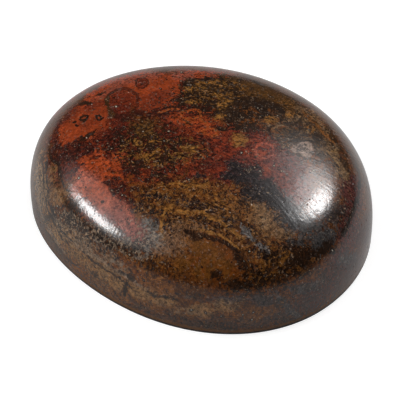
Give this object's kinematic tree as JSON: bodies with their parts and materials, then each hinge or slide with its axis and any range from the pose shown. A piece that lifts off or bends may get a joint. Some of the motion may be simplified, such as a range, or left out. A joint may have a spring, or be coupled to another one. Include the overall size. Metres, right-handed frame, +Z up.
{
  "type": "polished agate cabochon",
  "caption": "Oval agate stone with a flat sawn base, a steep wall, a full round shoulder and a low polished dome.",
  "frame": {"origin": "middle of the flat base, on the surface that the stone rests on", "axes": "+X along the oval's longer axis, +Y along its shorter axis, +Z up through the dome"},
  "size_m": [0.035, 0.03, 0.0104],
  "materials": {
    "stone": "polished"
  },
  "bodies": {
    "root": {"cabochon": "stone"}
  },
  "joints": []
}
